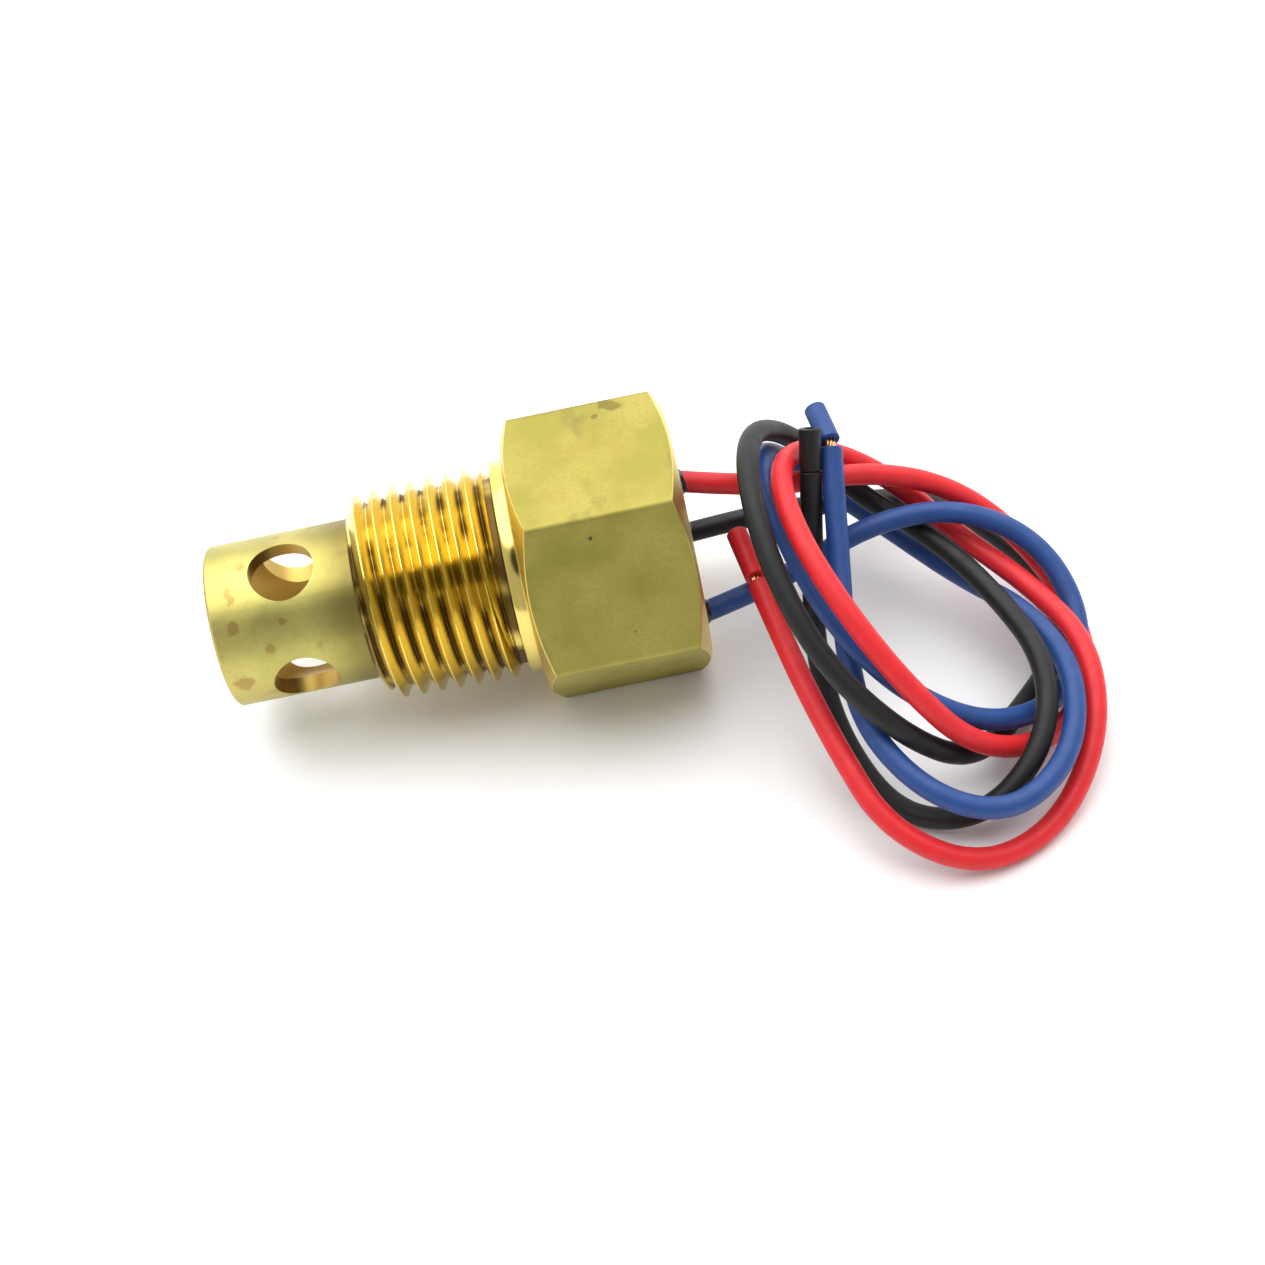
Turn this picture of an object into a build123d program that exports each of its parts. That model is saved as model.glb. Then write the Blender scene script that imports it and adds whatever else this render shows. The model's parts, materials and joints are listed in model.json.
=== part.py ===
"""Pressure switch: a brass pipe-thread body with a perforated guard tube, a diaphragm and plunger,
a change-over contact set, and three insulated leads potted into its back.

The axis runs along +X, from the mouth of the guard tube to the leads. The switch lies on one hexagon
flat at Z = 0, and X = 0 is half way along it. All sizes are in millimetres.
"""

import os
from math import atan2, cos, degrees, pi, radians, sin, sqrt, tan

from build123d import *

os.makedirs("parts", exist_ok=True)

# ---- driving dimensions of the outside ------------------------------------------------------------
HEX_AF = 25.4                  # across flats, 1 inch
HEX_LENGTH = 16.2
HEX_FACE_R = 12.2              # radius where the end chamfers start
CHAMFER_ANGLE = 26.0
COLLAR_LENGTH = 1.4
COLLAR_R = 10.6
GROOVE_LENGTH = 0.7            # run-out groove between thread and collar
GROOVE_R = 9.4
THREAD_LENGTH = 13.7           # 1/2-14 taper pipe thread
THREAD_PITCH = 25.4 / 14
THREAD_DEPTH = 1.38
THREAD_END_R = 10.67           # crest radius at the collar
THREAD_TAPER = 1 / 32          # change of radius per length
THREAD_LEAD_IN = 1.2           # length of the starting chamfer
THREAD_CREST = 0.16            # width of the flat on a crest
GUARD_OD = 15.875              # 5/8 inch tube
GUARD_ID = 12.7                # 1/2 inch bore
GUARD_REACH = 14.2             # length of tube that shows
GUARD_SOCKET = 6.0             # length of tube pressed into the body
CROSS_HOLE_D = 6.35            # four 1/4 inch holes
CROSS_HOLE_X = 7.5             # from the mouth
CROSS_HOLE_TURN = 9.0          # turn of the holes from the hexagon's flats, degrees
MENISCUS_LENGTH = 0.8          # potting drawn up around each lead
EDGE_BREAK = 0.25

OVERALL = GUARD_REACH + THREAD_LENGTH + GROOVE_LENGTH + COLLAR_LENGTH + HEX_LENGTH + MENISCUS_LENGTH
AXIS_Z = HEX_AF / 2

# ---- stations along the axis ----------------------------------------------------------------------
X_MOUTH = -OVERALL / 2
X_THREAD = X_MOUTH + GUARD_REACH
X_GROOVE = X_THREAD + THREAD_LENGTH
X_COLLAR = X_GROOVE + GROOVE_LENGTH
X_HEX = X_COLLAR + COLLAR_LENGTH
X_BACK = X_HEX + HEX_LENGTH
X_SOCKET = X_THREAD + GUARD_SOCKET

# ---- inside of the body ---------------------------------------------------------------------------
PORT_R = 4.0
PLUG_LENGTH = 4.0
SNUB_HOLE_R = 0.6
CHAMBER_R = 7.0
X_SEAT = 8.0                   # diaphragm seat
CHAMBER_LENGTH = 1.1
BACK_BORE_R = 10.3
STACK_R = 10.25                # outside of the pieces stacked in the back bore
SEAL_WIRE_R = 0.75
SEAL_R = 8.9
SEAL_GROOVE_WIDTH = 1.6
DIAPHRAGM_R = 10.2
DIAPHRAGM_THICK = 0.25
X_CLAMP = X_SEAT + DIAPHRAGM_THICK
X_GUIDE = 12.5
CLAMP_BORE_R = 6.0
PISTON_HEAD_R = 5.0
PISTON_HEAD_LENGTH = 1.4
STEM_R = 2.0
STEM_CLEARANCE = 0.05
X_STEM_END = 14.0
RANGE_SPRING_R = 3.4
RANGE_SPRING_WIRE_R = 0.35
RANGE_SPRING_COILS = 2.5
X_RING = 13.5                  # start of the spacer ring around the contacts
RING_BORE_R = 9.3
X_BASE = 17.4                  # front of the switch base
X_WIRING = 18.8                # start of the wiring space behind the base
X_DAM = 20.0                   # disc of the dam that holds the potting back
X_POTTING = 20.6
DAM_RIM_R = 9.4

# ---- contact set ----------------------------------------------------------------------------------
PIVOT_U = -7.2
PIVOT_R = 0.4
PIVOT_CLEARANCE = 0.03
X_ARM = 15.0
ARM_THICK = 0.4
ARM_WIDTH = 3.0
ARM_TIP_U = 6.5
BARREL_R = 0.75
BARREL_LENGTH = 3.5
TIP_GAP = 0.1                  # between the push tip and the arm
CONTACT_U = 5.5
CONTACT_R = 0.9
CONTACT_THICK = 0.3
RIVET_R = 0.5
X_NC_FOOT = 13.8
X_NC_BUTTON = 14.35
X_NO_STRIP = 17.0
X_TAIL = 19.2
TAIL_WIDTH = 1.2
TAIL_THICK = 0.5
EAR_THICK = 0.5
EAR_GAP = 0.1
ARM_SPRING_U = -3.0
ARM_SPRING_R = 1.0
ARM_SPRING_WIRE_R = 0.13
ARM_SPRING_COILS = 4
SOLDER_R = 1.0
X_LEAD_INNER = 19.7

# ---- leads ----------------------------------------------------------------------------------------
LEAD_R = 1.05                  # insulation, 2.1 mm across
CORE_R = 0.5                   # bundle of copper strands
CORE_REACH = 3.0               # strands left inside the cut sleeve
ARC_SHARE = 0.45               # share of the shorter run that an arc's tangent takes
MENISCUS_R = 1.75
MENISCUS_TOP_R = 1.25
MENISCUS_CLEARANCE = 0.02

RED_ROUTE = [
    (22.7, 1.0, 18.9), (31.4, 0.2, 16.2), (40.6, 1.2, 14.9), (49.0, 0.2, 11.4), (55.0, -4.1, 6.5),
    (58.3, -11.6, 3.15), (57.6, -20.0, 0.75), (51.2, -26.2, 2.4), (43.9, -28.4, 7.6), (38.6, -25.5, 14.6),
    (34.2, -19.2, 20.3), (31.6, -10.9, 23.0), (31.9, -2.1, 22.0), (36.4, 3.7, 17.2), (43.2, 3.4, 11.5),
    (48.8, -2.3, 7.0), (54.1, -10.0, 6.4), (57.5, -18.7, 6.6), (56.0, -27.4, 4.0), (50.2, -34.4, 0.9),
    (42.0, -37.3, 1.5), (34.5, -33.5, 5.0), (31.6, -25.4, 8.4), (29.6, -16.4, 10.3), (28.3, -7.1, 11.2),
]
BLACK_ROUTE = [
    (22.7, 5.0, 6.9), (31.4, 5.6, 7.0), (39.8, 6.6, 4.9), (48.2, 6.5, 3.3), (54.3, 0.9, 1.4),
    (57.8, -6.8, 1.1), (56.0, -14.9, 1.2), (49.8, -21.5, 1.4), (43.9, -27.5, 4.2), (37.7, -27.9, 10.6),
    (31.8, -22.6, 16.4), (28.9, -14.8, 21.7), (28.5, -5.9, 25.1), (30.4, 2.3, 22.8), (34.9, 6.2, 16.6),
    (40.0, 3.0, 10.0), (46.4, -3.7, 8.6), (50.3, -12.2, 8.5), (52.8, -21.2, 8.3), (50.3, -29.2, 6.4),
    (43.7, -32.8, 2.5), (36.6, -29.9, 0.8), (32.9, -22.1, 3.1), (32.1, -14.2, 7.4), (33.6, -7.8, 13.2),
    (35.0, -2.5, 20.2),
]
BLUE_ROUTE = [
    (22.7, -6.7, 8.1), (31.4, -5.4, 9.1), (39.8, -2.8, 11.6), (48.9, -2.8, 11.5), (56.2, -6.6, 8.3),
    (58.4, -14.2, 4.3), (54.4, -21.9, 3.1), (46.6, -25.3, 5.7), (39.2, -23.4, 10.5), (33.9, -17.9, 15.4),
    (31.2, -10.0, 19.2), (30.3, -1.0, 20.7), (32.0, 5.8, 16.1), (36.7, 6.7, 9.1), (43.1, 1.6, 5.0),
    (48.3, -6.0, 4.7), (53.1, -13.5, 6.7), (55.2, -21.9, 7.2), (52.7, -30.2, 6.0), (46.0, -34.9, 5.5),
    (39.0, -33.2, 7.9), (34.4, -25.6, 9.8), (34.6, -16.9, 12.0), (36.1, -8.4, 15.7), (37.4, -0.8, 21.1),
]

# Each lead's cut sleeve: bare strands between sleeve and insulation, length, and its own direction
# where it is bent aside.
LEADS = {
    "red": {"route": RED_ROUTE, "bare": 0.75, "sleeve": 5.7, "aside": None},
    "black": {"route": BLACK_ROUTE, "bare": 0.12, "sleeve": 4.0, "aside": None},
    "blue": {"route": BLUE_ROUTE, "bare": 0.7, "sleeve": 4.2, "aside": (-0.13, 0.98, 0.1)},
}

# The contact set is turned so that its arm starts at the blue lead: U runs along the arm, V across it.
SWITCH_TURN = atan2(AXIS_Z - BLUE_ROUTE[0][2], -BLUE_ROUTE[0][1])
U_WAY = Vector(0, cos(SWITCH_TURN), sin(SWITCH_TURN))
V_WAY = Vector(0, -sin(SWITCH_TURN), cos(SWITCH_TURN))


# ---- helpers --------------------------------------------------------------------------------------
def across(x):
    """Plane across the axis at station x, with local X along +Y and local Y along +Z."""
    return Plane(origin=(x, 0, AXIS_Z), x_dir=(0, 1, 0), z_dir=(1, 0, 0))


def across_switch(x):
    """The same plane turned with the contact set: local X along U and local Y along V."""
    return Plane(origin=(x, 0, AXIS_Z), x_dir=U_WAY, z_dir=(1, 0, 0))


def along_switch(v):
    """Plane at distance v across the arm, with local X along the axis and local Y along U."""
    return Plane(origin=Vector(0, 0, AXIS_Z) + V_WAY * v, x_dir=(1, 0, 0), z_dir=V_WAY)


SECTION = Plane(origin=(0, 0, AXIS_Z), x_dir=(1, 0, 0), z_dir=(0, -1, 0))
SPIN_AXIS = Axis((0, 0, AXIS_Z), (1, 0, 0))


def place_in_switch(point):
    """Local U and V of a point given by its Y and Z."""
    offset = Vector(0, point[1], point[2] - AXIS_Z)
    return offset.dot(U_WAY), offset.dot(V_WAY)


def washer(x_start, x_end, outer_r, inner_r):
    """A plain round ring or disc about the axis."""
    with BuildPart() as ring:
        with BuildSketch(across(x_start)):
            Circle(outer_r)
            if inner_r > 0:
                Circle(inner_r, mode=Mode.SUBTRACT)
        extrude(amount=x_end - x_start)
    return ring


def coil_spring(x_start, x_end, place, coil_r, wire_r, coils):
    """A compression spring of round wire between two stations."""
    height = x_end - x_start - 2 * wire_r
    with BuildPart() as spring:
        with BuildLine() as centre_line:
            Helix(height / coils, height, coil_r, center=place + Vector(x_start + wire_r, 0, 0),
                  direction=(1, 0, 0))
        wire = centre_line.wire()
        with BuildSketch(Plane(origin=wire @ 0, z_dir=wire % 0)):
            Circle(wire_r)
        sweep(path=wire, is_frenet=True)
    return spring


def thread_profile():
    """Half section of the shank, from the socket's mouth round the thread to the collar's edge."""
    def crest_r(x):
        return THREAD_END_R - (X_GROOVE - x) * THREAD_TAPER

    first = X_THREAD + THREAD_LEAD_IN
    turns = int((X_GROOVE - first) / THREAD_PITCH)
    lead_in_r = crest_r(first) - THREAD_DEPTH
    points = [(X_THREAD, GUARD_OD / 2), (X_THREAD, lead_in_r - 0.35), (first - THREAD_CREST, crest_r(first))]
    for turn in range(turns):
        x = first + turn * THREAD_PITCH
        root = x + THREAD_PITCH / 2
        points.append((x + THREAD_CREST / 2, crest_r(x)))
        points.append((root - THREAD_CREST / 2, crest_r(root) - THREAD_DEPTH))
        points.append((root + THREAD_CREST / 2, crest_r(root) - THREAD_DEPTH))
        points.append((x + THREAD_PITCH - THREAD_CREST / 2, crest_r(x + THREAD_PITCH)))
    last = first + turns * THREAD_PITCH
    last_root = last + THREAD_PITCH / 2
    rise = THREAD_DEPTH * (X_GROOVE - last_root - THREAD_CREST / 2) / (THREAD_PITCH / 2 - THREAD_CREST)
    points.append((last + THREAD_CREST / 2, crest_r(last)))
    points.append((last_root - THREAD_CREST / 2, crest_r(last_root) - THREAD_DEPTH))
    points.append((last_root + THREAD_CREST / 2, crest_r(last_root) - THREAD_DEPTH))
    points.append((X_GROOVE, crest_r(last_root) - THREAD_DEPTH + rise))
    points.append((X_GROOVE, GROOVE_R))
    points.append((X_COLLAR, GROOVE_R))
    points.append((X_COLLAR, COLLAR_R - EDGE_BREAK))
    points.append((X_COLLAR + EDGE_BREAK, COLLAR_R))
    return points


# ---- brass body -----------------------------------------------------------------------------------
hex_corner_r = HEX_AF / sqrt(3)
chamfer_run = (hex_corner_r - HEX_FACE_R) * tan(radians(CHAMFER_ANGLE))

with BuildPart() as hex_body:
    with BuildSketch(across(X_HEX)):
        RegularPolygon(hex_corner_r, 6)
    extrude(amount=HEX_LENGTH)
    with BuildSketch(SECTION):
        with BuildLine():
            Polyline((X_HEX, 0), (X_HEX, HEX_FACE_R), (X_HEX + chamfer_run, hex_corner_r),
                     (X_BACK - chamfer_run, hex_corner_r), (X_BACK, HEX_FACE_R), (X_BACK, 0), close=True)
        make_face()
    revolve(axis=SPIN_AXIS, mode=Mode.INTERSECT)
    with BuildSketch(SECTION):
        with BuildLine():
            Polyline((X_THREAD, 0), *thread_profile(), (X_HEX, COLLAR_R), (X_HEX, 0), close=True)
        make_face()
    revolve(axis=SPIN_AXIS)
    # guard socket, port, pressure chamber, seal groove and back bore, as one turned profile
    with BuildSketch(SECTION):
        with BuildLine():
            Polyline((X_THREAD, 0), (X_THREAD, GUARD_OD / 2), (X_SOCKET, GUARD_OD / 2), (X_SOCKET, PORT_R),
                     (X_SEAT - CHAMBER_LENGTH, PORT_R), (X_SEAT - CHAMBER_LENGTH, CHAMBER_R),
                     (X_SEAT, CHAMBER_R), (X_SEAT, 0), close=True)
        make_face()
    revolve(axis=SPIN_AXIS, mode=Mode.SUBTRACT)
    with BuildSketch(across(X_SEAT)):
        Circle(BACK_BORE_R)
    extrude(amount=X_BACK - X_SEAT, mode=Mode.SUBTRACT)
    with BuildSketch(across(X_SEAT - 2 * SEAL_WIRE_R)):
        Circle(SEAL_R + SEAL_GROOVE_WIDTH / 2)
        Circle(SEAL_R - SEAL_GROOVE_WIDTH / 2, mode=Mode.SUBTRACT)
    extrude(amount=2 * SEAL_WIRE_R, mode=Mode.SUBTRACT)

# ---- guard tube -----------------------------------------------------------------------------------
with BuildPart() as guard_tube:
    with BuildSketch(across(X_MOUTH)):
        Circle(GUARD_OD / 2)
        Circle(GUARD_ID / 2, mode=Mode.SUBTRACT)
    extrude(amount=GUARD_REACH + GUARD_SOCKET)
    chamfer(guard_tube.faces().sort_by(Axis.X)[0].edges(), EDGE_BREAK)
    for quarter in range(2):
        turn = radians(CROSS_HOLE_TURN + 90 * quarter)
        hole_plane = Plane(origin=(X_MOUTH + CROSS_HOLE_X, 0, AXIS_Z), x_dir=(1, 0, 0),
                           z_dir=(0, -sin(turn), cos(turn)))
        with BuildSketch(hole_plane):
            Circle(CROSS_HOLE_D / 2)
        extrude(amount=GUARD_OD, both=True, mode=Mode.SUBTRACT)

# ---- pressure side --------------------------------------------------------------------------------
snubber_plug = washer(X_SOCKET, X_SOCKET + PLUG_LENGTH, PORT_R, SNUB_HOLE_R)

with BuildPart() as seal_ring:
    with BuildSketch(SECTION):
        with Locations((X_SEAT - SEAL_WIRE_R, SEAL_R)):
            Circle(SEAL_WIRE_R)
    revolve(axis=SPIN_AXIS)

diaphragm = washer(X_SEAT, X_CLAMP, DIAPHRAGM_R, 0)
clamp_ring = washer(X_CLAMP, X_GUIDE, STACK_R, CLAMP_BORE_R)

with BuildPart() as piston:
    with BuildSketch(across(X_CLAMP)):
        Circle(PISTON_HEAD_R)
    extrude(amount=PISTON_HEAD_LENGTH)
    with BuildSketch(across(X_CLAMP + PISTON_HEAD_LENGTH)):
        Circle(STEM_R)
    extrude(amount=X_STEM_END - X_CLAMP - PISTON_HEAD_LENGTH)
    chamfer(piston.faces().sort_by(Axis.X)[0].edges(), EDGE_BREAK)

range_spring = coil_spring(X_CLAMP + PISTON_HEAD_LENGTH, X_GUIDE, Vector(0, 0, AXIS_Z),
                           RANGE_SPRING_R, RANGE_SPRING_WIRE_R, RANGE_SPRING_COILS)
guide_plate = washer(X_GUIDE, X_RING, STACK_R, STEM_R + STEM_CLEARANCE)

# insulating tip on the stem, with a rounded nose
with BuildPart() as push_tip:
    with BuildSketch(across(X_STEM_END)):
        Circle(STEM_R - 0.5)
    extrude(amount=X_ARM - TIP_GAP - X_STEM_END)
    fillet(push_tip.faces().sort_by(Axis.X)[-1].edges(), 0.4)

# ---- contact set ----------------------------------------------------------------------------------
contact_ring = washer(X_RING, X_BASE, STACK_R, RING_BORE_R)

tail_places = {name: place_in_switch(lead["route"][0]) for name, lead in LEADS.items()}

with BuildPart() as switch_base:
    with BuildSketch(across(X_BASE)):
        Circle(STACK_R)
    extrude(amount=X_WIRING - X_BASE)
    with BuildSketch(across_switch(X_BASE)):
        with Locations(*tail_places.values()):
            Rectangle(TAIL_WIDTH, TAIL_THICK)
    extrude(amount=X_WIRING - X_BASE, mode=Mode.SUBTRACT)


def terminal_tail(name):
    """A terminal's tail, from the front of the base to its solder joint."""
    with BuildPart() as tail:
        with BuildSketch(across_switch(X_BASE)):
            with Locations(tail_places[name]):
                Rectangle(TAIL_WIDTH, TAIL_THICK)
        extrude(amount=X_TAIL - X_BASE)
    return tail.part


tails = {name: terminal_tail(name) for name in LEADS}
PLATE_THICK = 0.5
pivot_x = X_ARM + ARM_THICK / 2
ear_v = BARREL_LENGTH / 2 + EAR_GAP

with BuildPart() as common_terminal:
    with BuildSketch(across_switch(X_BASE - PLATE_THICK)):
        with Locations((PIVOT_U, 0)):
            Rectangle(3.0, 2 * (ear_v + EAR_THICK))
    extrude(amount=PLATE_THICK)
    add(tails["blue"])
    for side in (-1, 1):
        with BuildSketch(along_switch(side * ear_v)):
            with Locations((X_BASE - PLATE_THICK - 1.2, PIVOT_U)):
                Rectangle(2.4, 1.6)
            with Locations((pivot_x, PIVOT_U)):
                Circle(PIVOT_R, mode=Mode.SUBTRACT)
        extrude(amount=side * EAR_THICK)

with BuildPart() as pivot_pin:
    with BuildSketch(along_switch(-ear_v - EAR_THICK)):
        with Locations((pivot_x, PIVOT_U)):
            Circle(PIVOT_R)
    extrude(amount=2 * (ear_v + EAR_THICK))

with BuildPart() as contact_arm:
    with BuildSketch(along_switch(-BARREL_LENGTH / 2)):
        with Locations((pivot_x, PIVOT_U)):
            Circle(BARREL_R)
    extrude(amount=BARREL_LENGTH)
    with BuildSketch(across_switch(X_ARM)):
        with Locations(((PIVOT_U + ARM_TIP_U) / 2, 0)):
            Rectangle(ARM_TIP_U - PIVOT_U, ARM_WIDTH)
    extrude(amount=ARM_THICK)
    with BuildSketch(along_switch(-BARREL_LENGTH / 2)):
        with Locations((pivot_x, PIVOT_U)):
            Circle(PIVOT_R + PIVOT_CLEARANCE)
    extrude(amount=BARREL_LENGTH, mode=Mode.SUBTRACT)
    with BuildSketch(across_switch(X_ARM)):
        with Locations((CONTACT_U, 0)):
            Circle(RIVET_R)
    extrude(amount=ARM_THICK, mode=Mode.SUBTRACT)

with BuildPart() as moving_contact:
    with BuildSketch(across_switch(X_ARM - CONTACT_THICK)):
        with Locations((CONTACT_U, 0)):
            Circle(CONTACT_R)
    extrude(amount=CONTACT_THICK)
    with BuildSketch(across_switch(X_ARM)):
        with Locations((CONTACT_U, 0)):
            Circle(RIVET_R)
    extrude(amount=ARM_THICK)
    with BuildSketch(across_switch(X_ARM + ARM_THICK)):
        with Locations((CONTACT_U, 0)):
            Circle(CONTACT_R)
    extrude(amount=CONTACT_THICK)

nc_u, nc_v = tail_places["red"]
LEG_HALF_WIDTH = 1.5
FOOT_END_V = -1.0

# normally closed terminal: a leg up from the base and a foot over the moving contact
with BuildPart() as nc_terminal:
    with BuildSketch(across_switch(X_NC_FOOT)):
        with Locations((nc_u + 0.6, nc_v)):
            Rectangle(2 * LEG_HALF_WIDTH, TAIL_THICK)
    extrude(amount=X_BASE - X_NC_FOOT)
    with BuildSketch(across_switch(X_NC_FOOT)):
        with Locations((CONTACT_U, (nc_v + TAIL_THICK / 2 + FOOT_END_V) / 2)):
            Rectangle(2 * CONTACT_R, nc_v + TAIL_THICK / 2 - FOOT_END_V)
    extrude(amount=X_NC_BUTTON - X_NC_FOOT)
    add(tails["red"])

no_u, no_v = tail_places["black"]
strip_length = sqrt((CONTACT_U - no_u) ** 2 + no_v ** 2)
strip_turn = degrees(atan2(-no_v, CONTACT_U - no_u))

# normally open terminal: a flat strip on the base from its tail to the contact
with BuildPart() as no_terminal:
    with BuildSketch(across_switch(X_NO_STRIP)):
        with Locations(((CONTACT_U + no_u) / 2, no_v / 2)):
            SlotCenterToCenter(strip_length, 2 * CONTACT_R, rotation=strip_turn)
    extrude(amount=X_BASE - X_NO_STRIP)
    add(tails["black"])


def contact_button(x_start):
    """A fixed contact opposite the moving one."""
    with BuildPart() as button:
        with BuildSketch(across_switch(x_start)):
            with Locations((CONTACT_U, 0)):
                Circle(CONTACT_R)
        extrude(amount=CONTACT_THICK)
    return button


nc_contact = contact_button(X_NC_BUTTON)
no_contact = contact_button(X_NO_STRIP - CONTACT_THICK)
arm_spring = coil_spring(X_ARM + ARM_THICK, X_BASE, Vector(0, 0, AXIS_Z) + U_WAY * ARM_SPRING_U,
                         ARM_SPRING_R, ARM_SPRING_WIRE_R, ARM_SPRING_COILS)

with BuildPart() as solder_joints:
    for u, v in tail_places.values():
        with BuildSketch(across_switch(X_TAIL)):
            with Locations((u, v)):
                Circle(SOLDER_R)
        extrude(amount=X_LEAD_INNER - X_TAIL)

# ---- leads ----------------------------------------------------------------------------------------
def arc_radii(route):
    """Radius for each corner: its tangent length is a fixed share of the shorter run beside it."""
    points = [Vector(*point) for point in route]
    radii = []
    for before, corner, after in zip(points, points[1:], points[2:]):
        run_in = corner - before
        run_out = after - corner
        half_turn = radians(run_in.get_angle(run_out)) / 2
        radii.append(ARC_SHARE * min(run_in.length, run_out.length) / tan(half_turn))
    return radii


def free_lead(name, route):
    """The insulated lead from the potting to its cut end, and its path."""
    radii = arc_radii(route)
    with BuildPart() as lead:
        with BuildLine() as run:
            FilletPolyline(*route, radius=radii)
        path = run.wire()
        with BuildSketch(Plane(origin=path @ 0, z_dir=path % 0)):
            Circle(LEAD_R)
        sweep(path=path)
    ideal = pi * LEAD_R ** 2 * path.length
    print(name, "lead: length %.1f, radii" % path.length, [round(radius, 1) for radius in radii])
    print(name, "lead: volume %.2f, section times length %.2f" % (lead.part.volume, ideal))
    return lead, path


def first_way(route):
    """Direction of the lead where it leaves the potting."""
    return (Vector(*route[1]) - Vector(*route[0])).normalized()


def inner_lead(route):
    """The lead's stretch inside the potting and the dam, cut off square to the free lead."""
    with BuildPart() as stub:
        with BuildSketch(Plane(origin=(X_LEAD_INNER, route[0][1], route[0][2]), x_dir=(0, 1, 0),
                               z_dir=(1, 0, 0))):
            Circle(LEAD_R)
        extrude(amount=X_BACK - X_LEAD_INNER)
        split(bisect_by=Plane(origin=route[0], z_dir=first_way(route)), keep=Keep.BOTTOM)
    return stub


def meniscus(route):
    """The low cone of resin drawn up around a lead, with the lead's own tilt in its hole."""
    start = Vector(*route[0])
    top = start + first_way(route) * MENISCUS_LENGTH
    with BuildPart() as cone:
        with BuildSketch(Plane(origin=start, x_dir=(0, 1, 0), z_dir=(1, 0, 0))):
            Circle(MENISCUS_R)
        with BuildSketch(Plane(origin=(X_BACK + MENISCUS_LENGTH, top.Y, top.Z), x_dir=(0, 1, 0),
                               z_dir=(1, 0, 0))):
            Circle(MENISCUS_TOP_R)
        loft()
        with BuildSketch(Plane(origin=start, z_dir=first_way(route))):
            Circle(LEAD_R + MENISCUS_CLEARANCE)
        extrude(amount=2 * LEAD_R, both=True, mode=Mode.SUBTRACT)
    return cone.part


def stripped_end(path, bare, sleeve, aside):
    """The copper strands that leave the lead's cut end, and the cut sleeve pushed along them."""
    end = path @ 1
    way = path % 1
    sleeve_way = way if aside is None else Vector(*aside).normalized()
    bend = end + way * (bare / 2)
    sleeve_start = bend + sleeve_way * (bare / 2)
    tip = sleeve_start + sleeve_way * CORE_REACH
    with BuildPart() as strands:
        with BuildLine() as core_run:
            if aside is None:
                Line(end, tip)
            else:
                FilletPolyline(end, bend, tip, radius=2 * CORE_R)
        core_path = core_run.wire()
        with BuildSketch(Plane(origin=core_path @ 0, z_dir=core_path % 0)):
            Circle(CORE_R)
        sweep(path=core_path)
    with BuildPart() as cut_sleeve:
        with BuildSketch(Plane(origin=sleeve_start, z_dir=sleeve_way)):
            Circle(LEAD_R)
            Circle(CORE_R, mode=Mode.SUBTRACT)
        extrude(amount=sleeve)
    return strands, cut_sleeve


# ---- back closure ---------------------------------------------------------------------------------
tubes = {}
lead_paths = {}
inner_leads = {}
for colour, lead in LEADS.items():
    tubes[colour], lead_paths[colour] = free_lead(colour, lead["route"])
    inner_leads[colour] = inner_lead(lead["route"])

lead_places = [(lead["route"][0][1], lead["route"][0][2] - AXIS_Z) for lead in LEADS.values()]

with BuildPart() as dam_cup:
    with BuildSketch(across(X_WIRING)):
        Circle(STACK_R)
    extrude(amount=X_POTTING - X_WIRING)
    with BuildSketch(across(X_WIRING)):
        Circle(DAM_RIM_R)
    extrude(amount=X_DAM - X_WIRING, mode=Mode.SUBTRACT)
    with BuildSketch(across(X_WIRING)):
        with Locations(*lead_places):
            Circle(LEAD_R)
    extrude(amount=X_POTTING - X_WIRING, mode=Mode.SUBTRACT)

menisci = [meniscus(lead["route"]) for lead in LEADS.values()]

with BuildPart() as potting:
    with BuildSketch(across(X_POTTING)):
        Circle(BACK_BORE_R)
        with Locations(*lead_places):
            Circle(LEAD_R, mode=Mode.SUBTRACT)
    extrude(amount=X_BACK - X_POTTING)
    for cone in menisci:
        add(cone)

pieces = {
    "hex_body": hex_body,
    "guard_tube": guard_tube,
    "snubber_plug": snubber_plug,
    "seal_ring": seal_ring,
    "diaphragm": diaphragm,
    "clamp_ring": clamp_ring,
    "piston": piston,
    "range_spring": range_spring,
    "guide_plate": guide_plate,
    "push_tip": push_tip,
    "contact_ring": contact_ring,
    "switch_base": switch_base,
    "common_terminal": common_terminal,
    "pivot_pin": pivot_pin,
    "contact_arm": contact_arm,
    "moving_contact": moving_contact,
    "nc_terminal": nc_terminal,
    "nc_contact": nc_contact,
    "no_terminal": no_terminal,
    "no_contact": no_contact,
    "arm_spring": arm_spring,
    "solder_joints": solder_joints,
    "dam_cup": dam_cup,
    "potting": potting,
}

for colour, lead in LEADS.items():
    strands, cut_sleeve = stripped_end(lead_paths[colour], lead["bare"], lead["sleeve"], lead["aside"])
    pieces[colour + "_lead"] = tubes[colour]
    pieces[colour + "_inner_lead"] = inner_leads[colour]
    pieces[colour + "_strands"] = strands
    pieces[colour + "_sleeve"] = cut_sleeve

for label, piece in pieces.items():
    piece.part.label = label
    export_step(piece.part, "parts/" + label + ".step")
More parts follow.
